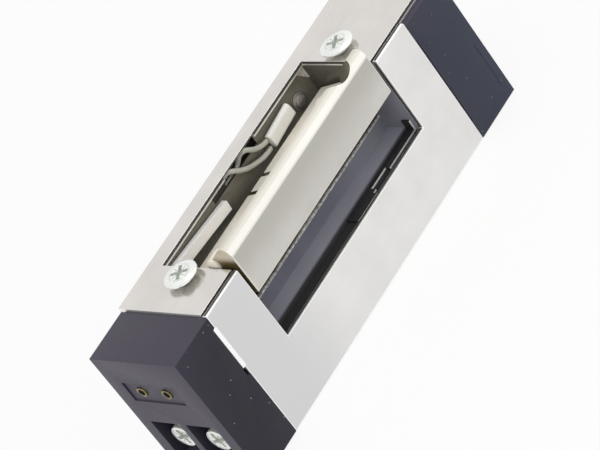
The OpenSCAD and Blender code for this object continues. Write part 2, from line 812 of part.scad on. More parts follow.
module plunger() {
    color("#b8bcbd") difference() {
        rod_along(lever_mid, plunger_d, plunger_r, [plunger_lo, plunger_hi]);
        block([slot_lo, plunger_hi + cut], [lever_in - slot_gap, lever_in + lever_t + slot_gap],
            [plunger_d - plunger_r - cut, plunger_d + plunger_r + cut]);
        rod_across(lever_along, plunger_d, fork_pin_r,
            [lever_mid - plunger_r - cut, lever_mid + plunger_r + cut]);
    }
}

module plunger_pin() {
    color("#d0d2d2") rod_across(lever_along, plunger_d, fork_pin_r,
        [lever_mid - plunger_r, lever_mid + plunger_r]);
}

module plunger_ring() {
    color("#c9a23c") difference() {
        rod_along(lever_mid, plunger_d, plunger_r + ring_wall, [ring_lo, ring_lo + ring_t]);
        rod_along(lever_mid, plunger_d, plunger_r, [ring_lo - cut, ring_lo + ring_t + cut]);
    }
}

plunger_spring_turns = 3;
plunger_spring_span = ring_lo - yoke_hi - spring_wire - seat_gap;
plunger_curls = [for (q = helix(plunger_r + side_gap + spring_wire / 2,
    plunger_spring_span / plunger_spring_turns, plunger_spring_turns, 0))
    q + place([yoke_hi + (spring_wire + seat_gap) / 2, lever_mid, plunger_d])];

module plunger_spring() {
    color("#8f9294") tube(plunger_curls, spring_wire / 2, 6, [1, 0.02, 0]);
    echo("plunger spring least gap", self_gap(plunger_curls, spring_wire));
}

module lever_profile() {
    difference() {
        union() {
            translate([lever_along, -lever_d]) circle(lever_hub_r);
            translate([lever_along - nose_arm - nose_half, -lever_d + arm_rise - arm_h])
                square([nose_arm + nose_half, arm_h]);
            translate([lever_along - nose_arm - nose_half, -lever_d + arm_rise - arm_h])
                square([2 * nose_half, lever_d - arm_rise + arm_h - nose_top]);
            translate([lever_along - fork_half, -plunger_d - fork_below])
                square([2 * fork_half, plunger_d + fork_below - lever_d]);
        }
        translate([lever_along, -lever_d]) circle(lever_pin_r + run_gap);
        translate([lever_along - fork_pin_r - fork_gap, -plunger_d - fork_below - cut])
            square([2 * (fork_pin_r + fork_gap), fork_below + fork_pin_r + fork_gap + cut]);
    }
}

module locking_lever() {
    color("#9a9d9e") profile_across([lever_in, lever_in + lever_t]) lever_profile();
}

module lever_pin() {
    color("#c2c4c4") rod_across(lever_along, lever_d, lever_pin_r,
        [lever_in - side_gap - bracket_t, lever_in + lever_t + side_gap + bracket_t]);
}

module sense_profile() {
    difference() {
        union() {
            translate([sense_along, -sense_d]) circle(sense_hub_r);
            translate([sense_along, -sense_d]) rotate(-sense_tilt) {
                translate([0, -sense_hub_r]) square([sense_foot - foot_w, 2 * sense_hub_r]);
                translate([sense_foot - foot_w, -sense_h / 2])
                    square([sense_len - sense_foot + foot_w, sense_h]);
            }
            translate([sense_along + sense_foot - foot_w / 2, -foot_end])
                square([foot_w, foot_end - sense_d - sense_h / 2]);
        }
        translate([sense_along, -sense_d]) circle(sense_pin_r + run_gap);
    }
}

module sense_lever() {
    color("#e8e2d8") profile_across([sense_in, sense_in + sense_t]) sense_profile();
}

module sense_pin() {
    color("#c2c4c4") rod_across(sense_along, sense_d, sense_pin_r,
        [sense_in - sense_pin_deep, wall_in + channel_skin]);
}

button_lo = sense_along + sense_foot - foot_w / 2;

module switch_body() {
    color("#26262a") difference() {
        block([switch_lo, switch_lo + switch_len], [wall_in - switch_w, wall_in - seat_gap],
            [switch_top, switch_top + switch_h]);
        block([button_lo - run_gap, button_lo + foot_w + run_gap],
            [sense_in - run_gap, sense_in + sense_t + run_gap],
            [switch_top - cut, switch_top + button_deep + button_proud + 2 * seat_gap]);
    }
}

module switch_button() {
    color("#b03a34") block([button_lo, button_lo + foot_w], [sense_in, sense_in + sense_t],
        [switch_top - button_proud, switch_top + button_deep]);
}

module lead_sleeve() {
    round_r = sleeve_t / 2;
    color("#e1ded4") translate(place([sleeve_along, wall_in - seat_gap - round_r, sleeve_d]))
        rotate([0, -sleeve_tilt, 0]) rotate([90, 0, 90]) linear_extrude(sleeve_len, center = true) {
            square([sleeve_t, sleeve_h - sleeve_t], center = true);
            for (side = [-1, 1]) translate([0, side * (sleeve_h - sleeve_t) / 2]) circle(round_r);
        }
}

module wire_a() {
    color("#96968c")
        tube(curve(from_wall(wire_a_route), route_steps), wire_dia / 2, wire_sides, [0.3, 0.5, 0.8]);
}

module wire_b() {
    color("#96968c")
        tube(curve(from_wall(wire_b_route), route_steps), wire_dia / 2, wire_sides, [0.3, 0.5, 0.8]);
}

module coil_lead_a() {
    color("#7a2f2a") tube(curve(lead_a_route, route_steps), wire_dia / 2, wire_sides, [0, 0, 1]);
}

module coil_lead_b() {
    color("#2c2c30") tube(curve(lead_b_route, route_steps), wire_dia / 2, wire_sides, [0, 0, 1]);
}

module wall_rivet() {
    color("#787070") {
        rod_across(rivet_along, rivet_d, rivet_head_r, [wall_in - rivet_head_t, wall_in]);
        rod_across(rivet_along, rivet_d, rivet_ring_r, [wall_in - rivet_ring_t, wall_in]);
        rod_across(rivet_along, rivet_d, rivet_shank_r, [wall_in - rivet_head_t, house_in - channel_skin]);
    }
}

module recess_liner() {
    color("#cfd0d0") difference() {
        union() {
            block([liner_lo, open_hi], [liner_in, groove_in], [groove_d - liner_t, groove_d]);
            block([liner_lo, liner_lo + liner_step], [plate_t + seat_gap, groove_in],
                [groove_d - liner_t, groove_d]);
            block([open_hi - liner_t, open_hi], [liner_in, groove_in], [groove_d - liner_up, groove_d]);
        }
        block(liner_notch, [0, liner_notch_in], [recess_depth - cut, groove_d + cut]);
    }
}

module face_screw() {
    cone_h = face_head_h - face_rim - face_dome;
    difference() {
        union() {
            translate([0, 0, -face_screw_tip]) cylinder(r = face_shank_r, h = face_screw_tip);
            cylinder(r1 = face_shank_r, r2 = face_head_r, h = cone_h);
            translate([0, 0, cone_h]) cylinder(r = face_head_r, h = face_rim);
            translate([0, 0, cone_h + face_rim])
                cylinder(r1 = face_head_r, r2 = face_crown_r, h = face_dome);
        }
        translate([0, 0, face_head_h]) cross_recess(cross_deep);
    }
}

module face_screws() {
    color("#d6dad6") for (a = face_screw_along)
        translate(place([a, mid_inward, 0])) rotate([0, 0, face_cross_turn]) face_screw();
}

module terminal_screws() {
    front = -terminal_cap_len + terminal_recess;
    shank_len = terminal_cap_len - terminal_recess - clamp_back - cut;
    color("#d6dad6") for (side = [-1, 1])
        translate(place([front, terminal_mid + side * terminal_pitch / 2, terminal_d]))
            rotate([0, -90, 0]) difference() {
                union() {
                    translate([0, 0, -terminal_head_t]) cylinder(r = terminal_head_r, h = terminal_head_t);
                    translate([0, 0, -shank_len]) cylinder(r = terminal_shank_r, h = shank_len);
                }
                rotate([0, 0, terminal_cross_turn]) cross_recess(cross_deep);
            }
}

module terminal_clamps() {
    color("#c9a24c") for (side = [-1, 1]) {
        i = terminal_mid + side * terminal_pitch / 2;
        difference() {
            block([-terminal_cap_len + clamp_front, -clamp_back],
                [i - pocket_half_w + seat_gap, i + pocket_half_w - seat_gap],
                [terminal_d - pocket_half_h + seat_gap, terminal_d + pocket_half_h - seat_gap]);
            rod_along(i, terminal_d, terminal_shank_r + run_gap,
                [-terminal_cap_len, -clamp_back - cut + run_gap]);
        }
    }
}

module socket_rims() {
    color("#d8b560") for (side = [-0.5, 0.5]) difference() {
        rod_along(socket_mid + side * socket_pitch, socket_d, socket_r,
            [-terminal_cap_len + field_deep / 4, -chamber_deep]);
        rod_along(socket_mid + side * socket_pitch, socket_d, socket_bore,
            [-terminal_cap_len - cut, -chamber_deep - cut]);
    }
}

front_plate();
lip_plate();
housing();
back_cover();
terminal_cap();
top_cap();
keeper();
keeper_pin();
keeper_washers();
keeper_spring();
bobbin();
coil_winding();
solenoid_yoke();
solenoid_core();
plunger();
plunger_pin();
plunger_ring();
plunger_spring();
locking_lever();
lever_pin();
sense_lever();
sense_pin();
switch_body();
switch_button();
lead_sleeve();
wire_a();
wire_b();
coil_lead_a();
coil_lead_b();
wall_rivet();
recess_liner();
face_screws();
terminal_screws();
terminal_clamps();
socket_rims();
cover_screws();
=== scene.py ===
import json
import math

import bpy
from mathutils import Euler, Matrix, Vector


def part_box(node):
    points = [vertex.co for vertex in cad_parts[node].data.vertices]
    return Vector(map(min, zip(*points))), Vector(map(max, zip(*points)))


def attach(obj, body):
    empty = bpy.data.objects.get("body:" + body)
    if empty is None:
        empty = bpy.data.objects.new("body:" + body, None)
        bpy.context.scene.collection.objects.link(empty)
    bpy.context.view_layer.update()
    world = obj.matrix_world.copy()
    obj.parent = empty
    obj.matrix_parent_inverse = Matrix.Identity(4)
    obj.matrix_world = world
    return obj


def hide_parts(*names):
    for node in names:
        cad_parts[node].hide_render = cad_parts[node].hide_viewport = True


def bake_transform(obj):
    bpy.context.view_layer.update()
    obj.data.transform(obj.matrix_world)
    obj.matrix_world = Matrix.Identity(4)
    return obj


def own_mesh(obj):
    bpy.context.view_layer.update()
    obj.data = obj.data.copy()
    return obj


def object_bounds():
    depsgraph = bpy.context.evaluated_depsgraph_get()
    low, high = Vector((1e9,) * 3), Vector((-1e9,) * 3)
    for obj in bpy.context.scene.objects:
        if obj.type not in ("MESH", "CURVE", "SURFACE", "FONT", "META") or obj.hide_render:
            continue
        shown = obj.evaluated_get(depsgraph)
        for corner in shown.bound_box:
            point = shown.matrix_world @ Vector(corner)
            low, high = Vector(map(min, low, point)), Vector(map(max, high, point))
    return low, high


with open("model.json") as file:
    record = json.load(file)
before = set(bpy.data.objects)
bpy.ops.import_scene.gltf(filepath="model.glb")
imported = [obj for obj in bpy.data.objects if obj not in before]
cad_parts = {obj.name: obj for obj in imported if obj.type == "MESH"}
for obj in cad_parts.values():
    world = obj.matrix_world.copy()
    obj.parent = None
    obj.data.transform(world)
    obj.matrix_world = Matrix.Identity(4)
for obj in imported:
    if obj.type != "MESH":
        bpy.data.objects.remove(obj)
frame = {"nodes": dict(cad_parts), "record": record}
cad_low, cad_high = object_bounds()
MM = 0.001      # a millimetre in metres


def linear(code):
    """The linear colour of an sRGB hex code."""
    parts = [int(code[i:i + 2], 16) / 255 for i in (1, 3, 5)]
    return tuple(c / 12.92 if c < 0.04045 else ((c + 0.055) / 1.055) ** 2.4 for c in parts) + (1.0,)


def add(tree, kind, settings=None, links=None):
    """Adds a node, gives it its settings, and links or sets its inputs."""
    made = tree.nodes.new(kind)
    for key, value in (settings or {}).items():
        setattr(made, key, value)
    for key, value in (links or {}).items():
        if isinstance(value, bpy.types.NodeSocket):
            tree.links.new(value, made.inputs[key])
        else:
            made.inputs[key].default_value = value
    return made


def per_mm(size):
    """Texture scale for a feature of that size in millimetres."""
    return 1 / (size * MM)


def finish(name):
    """A new material: its node tree, its shader and the object coordinates that its patterns read."""
    made = bpy.data.materials.new(name)
    made.use_nodes = True
    tree = made.node_tree
    shader = tree.nodes["Principled BSDF"]
    place = add(tree, "ShaderNodeTexCoord").outputs["Object"]
    return made, tree, shader, place


ALL_DARK = 0.5      # sum of the two patterns below which toned gives the dark tone alone
NOISE_LOW = 0.3      # most of a noise pattern's values lie from here
NOISE_HIGH = 0.7      # to here
SMOOTHER = 0.06      # how far a plastic's roughness goes down over its grain
ROUGHER = 0.08      # and how far up
DUST_APART = 2.2      # millimetres between grains of dust
TORN_WANDER = 0.16      # millimetres by which the burnished band of a sheared edge wanders
TORN_GRAIN = 1.5      # size of that wandering, in millimetres
TORN_ROUGH = 0.55
BURNISHED_ROUGH = 0.28


def toned(tree, place, fine, weight, cloud, dark, light):
    """Two tones, mixed by a fine pattern and by slow clouds of that size in millimetres.

    weight is what the fine pattern counts for beside the clouds.
    """
    clouds = add(tree, "ShaderNodeTexNoise", None,
                 {"Vector": place, "Scale": per_mm(cloud), "Detail": 2.0}).outputs["Fac"]
    both = add(tree, "ShaderNodeMath", {"operation": "MULTIPLY_ADD"},
               {0: fine, 1: weight, 2: clouds}).outputs[0]
    share = add(tree, "ShaderNodeMapRange", None,
                {"Value": both, "From Min": ALL_DARK, "From Max": ALL_DARK + weight}).outputs["Result"]
    return add(tree, "ShaderNodeMix", {"data_type": "RGBA"},
               {0: share, 6: linear(dark), 7: linear(light)}).outputs[2]


def faded(tree, place, colour, fade):
    """A colour that changes along an axis.

    fade is the axis, the places in millimetres where the other tone starts and is whole, and its colour.
    """
    axis, begins, whole, other = fade
    along = add(tree, "ShaderNodeSeparateXYZ", None, {0: place}).outputs[axis]
    reach = add(tree, "ShaderNodeMapRange", {"interpolation_type": "SMOOTHSTEP"},
                {"Value": along, "From Min": begins * MM, "From Max": whole * MM}).outputs["Result"]
    return add(tree, "ShaderNodeMix", {"data_type": "RGBA"},
               {0: reach, 6: colour, 7: linear(other)}).outputs[2]


def coated(tree, shader, colour, gloss, height, strength, depth):
    """Gives a shader its colour, its roughness and a relief of that depth in millimetres."""
    relief = add(tree, "ShaderNodeBump", None,
                 {"Height": height, "Strength": strength, "Distance": depth * MM}).outputs["Normal"]
    tree.links.new(colour, shader.inputs["Base Color"])
    tree.links.new(gloss, shader.inputs["Roughness"])
    tree.links.new(relief, shader.inputs["Normal"])


def metal(name, dark, light, rough, grain, bump, cloud, spread=0.1, metallic=1.0, fade=None):
    """Plated, ground or brushed metal: a fine grain, drawn out along an axis, and a slow change of tone.

    The grain sizes are in millimetres along X, Y and Z. Real brushing is finer than a pixel here, so it is
    drawn about twice as coarse as it is. bump is the grain's depth and cloud the size of the slow change, in
    millimetres. spread is the change of roughness over the grain. fade is as in faded.
    """
    made, tree, shader, place = finish(name)
    scaled = add(tree, "ShaderNodeMapping", None,
                 {"Vector": place, "Scale": [per_mm(size) for size in grain]}).outputs["Vector"]
    lines = add(tree, "ShaderNodeTexNoise", None,
                {"Vector": scaled, "Scale": 1.0, "Detail": 3.0, "Roughness": 0.6}).outputs["Fac"]
    colour = toned(tree, place, fine=lines, weight=0.45, cloud=cloud, dark=dark, light=light)
    if fade:
        colour = faded(tree, place, colour, fade)
    gloss = add(tree, "ShaderNodeMapRange", None,
                {"Value": lines, "From Min": NOISE_LOW, "From Max": NOISE_HIGH, "To Min": rough - spread / 2,
                 "To Max": rough + spread / 2}).outputs["Result"]
    coated(tree, shader, colour, gloss, height=lines, strength=0.5, depth=bump)
    shader.inputs["Metallic"].default_value = metallic
    return made


def plastic(name, dark, light, rough, texture=0.35, bump=0.012, specks=None, ior=1.5, cloud=9, painted_side_light=None,
            fade=None):
    """Moulded plastic: the fine texture of a spark-eroded mould, a slow change of tone, and dust if named.

    texture is the mould's grain in millimetres, bump its depth and cloud the size of the slow change. A real
    grain is near 0.1 mm, too fine to show here, so it is drawn a few times as coarse. specks is the colour of
    the grains of dust, and their reach as a share of the way between two. painted_side_light is the colour of
    light painted on the faces that look one way, and that way. fade is as in faded.
    """
    made, tree, shader, place = finish(name)
    grain = add(tree, "ShaderNodeTexNoise", None,
                {"Vector": place, "Scale": per_mm(texture), "Detail": 3.0, "Roughness": 0.65}).outputs["Fac"]
    colour = toned(tree, place, fine=grain, weight=0.5, cloud=cloud, dark=dark, light=light)
    if specks:
        dust, reach = specks
        away = add(tree, "ShaderNodeTexVoronoi", None,
                   {"Vector": place, "Scale": per_mm(DUST_APART)}).outputs["Distance"]
        spot = add(tree, "ShaderNodeMath", {"operation": "LESS_THAN"}, {0: away, 1: reach}).outputs[0]
        colour = add(tree, "ShaderNodeMix", {"data_type": "RGBA"},
                     {0: spot, 6: colour, 7: linear(dust)}).outputs[2]
    if fade:
        colour = faded(tree, place, colour, fade)
    if painted_side_light:
        side_lit_tone, toward = painted_side_light
        faced = add(tree, "ShaderNodeNewGeometry").outputs["Normal"]
        lying = add(tree, "ShaderNodeVectorMath", {"operation": "DOT_PRODUCT"},
                    {0: faced, 1: toward}).outputs["Value"]
        side_lit_share = add(tree, "ShaderNodeMapRange", None, {"Value": lying}).outputs["Result"]
        colour = add(tree, "ShaderNodeMix", {"data_type": "RGBA"},
                     {0: side_lit_share, 6: colour, 7: linear(side_lit_tone)}).outputs[2]
    gloss = add(tree, "ShaderNodeMapRange", None,
                {"Value": grain, "From Min": NOISE_LOW, "From Max": NOISE_HIGH, "To Min": rough - SMOOTHER,
                 "To Max": rough + ROUGHER}).outputs["Result"]
    coated(tree, shader, colour, gloss, height=grain, strength=0.6, depth=bump)
    shader.inputs["IOR"].default_value = ior
    return made


def sheared(name, axis, bright, torn):
    """A sheared edge: a burnished band painted near white as highlight, and torn metal painted dark as shade.

    axis runs through the sheet. bright and torn are the places along it, in millimetres, where the burnished
    band is whole and where it has ended.
    """
    made, tree, shader, place = finish(name)
    along = add(tree, "ShaderNodeSeparateXYZ", None, {0: place}).outputs[axis]
    wander = add(tree, "ShaderNodeTexNoise", None,
                 {"Vector": place, "Scale": per_mm(TORN_GRAIN), "Detail": 2.0}).outputs["Fac"]
    ragged = add(tree, "ShaderNodeMath", {"operation": "MULTIPLY_ADD"},
                 {0: wander, 1: TORN_WANDER * MM, 2: along}).outputs[0]
    share = add(tree, "ShaderNodeMapRange", None,
                {"Value": ragged, "From Min": torn * MM, "From Max": bright * MM}).outputs["Result"]
    colour = add(tree, "ShaderNodeMix", {"data_type": "RGBA"},
                 {0: share, 6: linear("#4c4a47"), 7: linear("#eceae7")}).outputs[2]
    gloss = add(tree, "ShaderNodeMapRange", None,
                {"Value": share, "To Min": TORN_ROUGH, "To Max": BURNISHED_ROUGH}).outputs["Result"]
    coated(tree, shader, colour, gloss, height=wander, strength=0.5, depth=0.01)
    shader.inputs["Metallic"].default_value = 0.5
    return made


# Stainless sheet, brushed along the strike: a soft bright sheen with a faint cloudy tone
plate_steel = metal("stainless_brushed", "#d3cfcb", "#dcd8d4", rough=0.2, grain=(7, 0.2, 0.2),
                    spread=0.05, bump=0.002, cloud=9)
# The same sheet on the lip side: a little whiter, and greyer towards the terminals, both painted reflection
lip_steel = metal("stainless_brushed_white", "#dedddb", "#e6e5e3", rough=0.2, grain=(7, 0.2, 0.2),
                  spread=0.05, bump=0.002, cloud=9, fade=("X", -12, -34, "#d3d3d4"))
# Edges of the sheet, burnished by tumbling and painted near white as a thin highlight line
burnish_and_highlight = metal("stainless_burnish_and_highlight", "#f6f5f3", "#fcfbfa", rough=0.24, grain=(1, 1, 1),
                       spread=0.04, bump=0.001, cloud=6, metallic=0.6)
# Satin nickel plated over a zinc casting: even grey, scattering part of the light, with painted shade near
# the top
keeper_nickel = metal("satin_nickel", "#c0beb8", "#cac8c2", rough=0.3, grain=(1.2, 0.3, 0.3),
                      spread=0.05, bump=0.002, cloud=8, metallic=0.6, fade=("Z", 29, 37, "#b3b1a9"))
# The same nickel where the latch slides over the broken edges: worn, and painted pale as a broad soft
# highlight
keeper_wear_and_highlight = metal("satin_nickel_wear_and_highlight", "#d4d2cb", "#dcdad3", rough=0.45, grain=(3, 0.3, 0.3),
                    spread=0.04, bump=0.001, cloud=12, metallic=0.35)
# The same nickel on top of the crest: dull, and painted pale as the light it catches
keeper_crest = metal("satin_nickel_crest", "#d6d2c7", "#dedacf", rough=0.45, grain=(3, 0.3, 0.3),
                     spread=0.04, bump=0.001, cloud=12, metallic=0.15)
# The same nickel in the pocket and on the boss: dull, and painted pale and warm as light in the pocket's
# shade
keeper_painted_light = metal("satin_nickel_painted_light", "#e6dfd1", "#f2ece0", rough=0.5, grain=(1, 0.5, 0.5),
                    spread=0.06, bump=0.002, cloud=6, metallic=0.1)
# The same nickel on the casting's end, painted brown and dark below the crest as shade and dark reflection
keeper_end = metal("satin_nickel_end_painted_shade", "#cfc6af", "#ddd5c1", rough=0.4, grain=(0.5, 0.5, 0.5),
                   spread=0.06, bump=0.002, cloud=4, metallic=0.4, fade=("Z", 38.2, 35.9, "#6a5b3a"))
# The same nickel in the round notch, painted dark brown as the shade in the notch
keeper_notch_shade = metal("satin_nickel_notch_painted_shade", "#5c5648", "#6c6656", rough=0.4, grain=(0.5, 0.5, 0.5),
                    spread=0.06, bump=0.002, cloud=4, metallic=0.3)
# Glass-filled nylon of the end blocks, from a spark-eroded mould: almost black and a little blue, dull, with
# a few grains of dust; painted greyer as light on faces looking endwards and up, and away from the terminals
block_nylon = plastic("glass_filled_nylon", "#0f0d1b", "#161424", rough=0.48, bump=0.01,
                      specks=("#b0b0b0", 0.05), ior=1.4, painted_side_light=("#443f4d", (-0.95, 0, 0.75)),
                      fade=("X", 0, 110, "#384153"))
# Grey glass-filled nylon of the case, moulded: an even skin, faintly blue, painted paler away from the
# terminals as light
grey_nylon = plastic("grey_filled_nylon", "#5e5e69", "#686873", rough=0.4, texture=0.5, bump=0.004,
                     fade=("X", 2, 24, "#7a7a84"))
# The same nylon on the recess floor, painted paler as light, and painted dark as shade where it meets the
# groove
floor_nylon = plastic("grey_filled_nylon_pale", "#9494a2", "#9e9eab", rough=0.4, texture=0.5, bump=0.004,
                      fade=("Y", -7.2, -8.4, "#34343a"))
# The same nylon on the ends of the recess, painted paler as light, less than the floor
end_nylon = plastic("grey_filled_nylon_ends", "#80808a", "#8a8a94", rough=0.4, texture=0.5, bump=0.004)
# The same nylon along an edge that is worn, painted with bright dots as its glints
edge_nylon = plastic("grey_filled_nylon_rubbed_and_glints", "#60605e", "#e8e8e4", rough=0.4, texture=0.3,
                     bump=0.004, cloud=0.7)
# The same nylon in the corner where the pocket is cut away, painted pale as light in its shade
corner_nylon = plastic("grey_filled_nylon_corner_painted_light", "#d6d0c6", "#e2dcd3", rough=0.5, texture=0.6,
                       bump=0.004)
# The same nylon in the pocket, polished by the tool: brown-grey, and painted darker on its end wall as shade
pocket_nylon = plastic("grey_filled_nylon_brown", "#666359", "#726e63", rough=0.3, texture=0.8,
                       bump=0.003, fade=("X", 28, 28.7, "#57544b"))
# The same nylon deep in the channel for the wires, painted near black as the shade under the plate
channel_nylon = plastic("grey_filled_nylon_channel_painted_shade", "#1e1b17", "#28241f", rough=0.6, texture=0.8,
                        bump=0.004)
# The groove of the recess, painted black, rough and without a shine, as its shade
groove_shade = plastic("groove_painted_shade", "#141415", "#1c1c1d", rough=0.7, texture=0.4, bump=0.01)
# Liner of phosphated steel sheet: black and dull, and standing for the shade in the groove as well
liner_black = plastic("phosphated_sheet_and_shade", "#1a1a1b", "#262627", rough=0.5, texture=0.4, bump=0.006)
# Steel sheet of the back, zinc plated: grey, even and a little cloudy
cover_zinc = metal("zinc_plated_sheet", "#b4b6b4", "#c6c8c6", rough=0.4, grain=(3, 0.4, 0.4), bump=0.004,
                   cloud=6)
# Bright zinc plated on steel screws: pale and shiny, with faint turning marks
screw_zinc = metal("bright_zinc", "#e8ebe7", "#f4f6f2", rough=0.26, grain=(0.6, 0.6, 0.6), spread=0.04,
                   bump=0.001, cloud=5, metallic=0.4)
# The same zinc down in a recess, painted duller and darker as the shade there
screw_recess_shade = metal("bright_zinc_recess_shade", "#c3c8c0", "#d6dad3", rough=0.4, grain=(0.5, 0.5, 0.5),
                     spread=0.08, bump=0.002, cloud=3, metallic=0.1)
# Steel of the pins, ground to size: a soft sheen with a fine grain
pin_steel = metal("ground_steel", "#b0b2b2", "#c4c6c6", rough=0.28, grain=(0.2, 2, 2), spread=0.08,
                  bump=0.003, cloud=4)
# Spring wire, drawn through a die and oiled: grey, with a dull streaky shine
spring_steel = metal("drawn_spring_wire", "#8e9092", "#a6a8aa", rough=0.34, grain=(0.6, 0.3, 0.3),
                     bump=0.003, cloud=3)
# Steel of the rivet, its head flattened by a punch: dull and uneven
rivet_steel = metal("riveted_steel", "#8d8785", "#a7a19e", rough=0.36, grain=(0.3, 0.3, 0.3), bump=0.004,
                    cloud=2, metallic=0.7)
# Soft iron, stamped and zinc plated: grey, with little shine
yoke_iron = metal("zinc_plated_iron", "#9c9ea0", "#b2b4b6", rough=0.42, grain=(1.5, 0.4, 0.4),
                  bump=0.005, cloud=5)
# Turned brass under a thin tin wash: pale yellow
brass = metal("turned_brass", "#a0977a", "#c9c1a2", rough=0.28, grain=(0.3, 0.3, 0.3), spread=0.06,
              bump=0.002, cloud=0.8, metallic=0.8)
# Turned brass, dark, with glints on its polished edge
brass_dark = metal("dark_brass", "#5f5636", "#8f8355", rough=0.2, grain=(0.3, 0.3, 0.3),
                      spread=0.05, bump=0.002, cloud=0.5)
# Copper wire, enamelled and dipped in varnish: brown-orange and shiny
coil_copper = metal("enamelled_copper_wire", "#7c3a1c", "#a4562a", rough=0.3, grain=(0.5, 3, 3),
                    bump=0.004, cloud=2, metallic=0.7)
# Edge of the liner's sheet, sheared after the blackening: near white, partly a painted highlight
liner_steel = metal("bright_cut_edge", "#e4e4e2", "#f2f2f0", rough=0.3, grain=(5, 0.3, 0.3), spread=0.08,
                    bump=0.003, cloud=6, metallic=0.3)
# Natural nylon of the washers, moulded: milky, with a soft shine
washer_nylon = plastic("natural_nylon", "#d9d3bf", "#e6e1d0", rough=0.42, texture=0.4, bump=0.006)
# PBT plastic of the bobbin, moulded: black and dull
bobbin_plastic = plastic("moulded_pbt", "#1e1e20", "#28282a", rough=0.4, texture=0.4, bump=0.006)
# Ivory acetal of the sensing lever, moulded in a polished tool: pale and smooth, with a soft shine
ivory_acetal = plastic("moulded_acetal", "#f3f2ef", "#fbfaf8", rough=0.34, texture=0.6, bump=0.003,
                       ior=1.48)
# Plastics of the small switch, moulded: a dull black body, and a smooth red button with a soft shine
switch_plastic = plastic("moulded_switch_body", "#202024", "#2c2c30", rough=0.42, texture=0.4,
                         bump=0.006)
button_red = plastic("moulded_red_acetal", "#8e2a22", "#a8382c", rough=0.32, texture=0.5, bump=0.004,
                     ior=1.48)
# Polyolefin of the sleeve, shrunk on with heat: white, smooth and slightly wavy
sleeve_white = plastic("shrunk_polyolefin", "#eeece6", "#f8f7f3", rough=0.36, texture=0.9)
# PVC of the wires, drawn over the copper: grey, red and black, each even with a soft shine
wire_grey = plastic("grey_pvc", "#b0b0a6", "#bebeb5", rough=0.4, texture=0.5, bump=0.004)
lead_red = plastic("red_pvc", "#7c2420", "#933029", rough=0.4, texture=0.5, bump=0.006)
lead_black = plastic("black_pvc", "#1f1f22", "#2a2a2d", rough=0.4, texture=0.5, bump=0.006)

# Sheared edges of the stainless plates, as the punch left them: a bright band painted near white as
# highlight, and torn dull metal beside it painted dark as shade. The front plate was punched from below, the
# lip plate from its outer side
front_edge = sheared("stainless_sheared_from_below", "Z", 34.7, 34.9)
lip_edge = sheared("stainless_sheared_from_outside", "Y", -12.85, -12.65)


def only(piece):
    """Makes a piece the one selected and active object."""
    if bpy.context.object and bpy.context.object.mode != "OBJECT":
        bpy.ops.object.mode_set(mode="OBJECT")
    bpy.ops.object.select_all(action="DESELECT")
    piece.select_set(True)
    bpy.context.view_layer.objects.active = piece


def apply_all(piece):
    """Applies a piece's modifiers in their order."""
    only(piece)
    for modifier in list(piece.modifiers):
        bpy.ops.object.modifier_apply(modifier=modifier.name)


MERGED = 0.002 * MM      # corners nearer than this are one
FLAT = math.radians(0.3)      # faces that differ by less lie in one plane
ROUND_SMOOTH = math.radians(50)      # faces of a round piece that differ by less are shaded as one


def copied(node, name):
    """A copy of a CAD node's mesh as one closed surface, its flat faces whole."""
    piece = bpy.data.objects.new(name, frame["nodes"][node].data.copy())
    bpy.context.scene.collection.objects.link(piece)
    only(piece)
    bpy.ops.object.mode_set(mode="EDIT")
    bpy.ops.mesh.select_all(action="SELECT")
    bpy.ops.mesh.remove_doubles(threshold=MERGED)
    bpy.ops.mesh.customdata_custom_splitnormals_clear()
    bpy.ops.mesh.dissolve_limited(angle_limit=FLAT)
    bpy.ops.object.mode_set(mode="OBJECT")
    return piece


def body_of(node):
    """The body that a CAD node rides on."""
    return next(b for b, members in frame["record"]["behaviour"]["bodies"].items() if node in members)


def marked(piece, angle, breaks):
    """Gives bevel weight to the edges sharper than angle degrees that breaks names by their two ends."""
    bpy.ops.object.mode_set(mode="EDIT")
    bpy.ops.mesh.select_mode(type="EDGE")
    bpy.ops.mesh.select_all(action="DESELECT")
    bpy.ops.mesh.edges_select_sharp(sharpness=math.radians(angle))
    bpy.ops.object.mode_set(mode="OBJECT")
    weights = piece.data.attributes.new("bevel_weight_edge", "FLOAT", "EDGE")
    for line in piece.data.edges:
        start, end = [piece.data.vertices[corner].co for corner in line.vertices]
        if line.select and breaks(start, end):
            weights.data[line.index].value = 1.0


def dressed(node, name, surface, edge, segments=2, angle=32, broken_edge_finish=None, smooth=30, breaks=None):
    """Stands for a CAD node with its sharp edges broken by edge millimetres, as moulding or tumbling does.

    broken_edge_finish is the finish of the broken edges, where it isn't that of the rest, and here is partly
    a painted highlight. smooth is the angle in degrees below which faces are shaded as one. breaks is as in
    marked, and is given where not all edges are broken.
    """
    piece = copied(node, name)
    piece.data.materials.clear()
    piece.data.materials.append(surface)
    soft = piece.modifiers.new("broken_edges", "BEVEL")
    soft.width = edge * MM
    soft.segments = segments
    soft.limit_method = "WEIGHT" if breaks else "ANGLE"
    soft.angle_limit = math.radians(angle)
    soft.use_clamp_overlap = not breaks
    if breaks:
        marked(piece, angle, breaks)
    if broken_edge_finish:
        piece.data.materials.append(broken_edge_finish)
        soft.material = 1
    apply_all(piece)
    bpy.ops.object.shade_smooth_by_angle(angle=math.radians(smooth))
    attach(piece, body_of(node))
    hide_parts(node)
    return piece


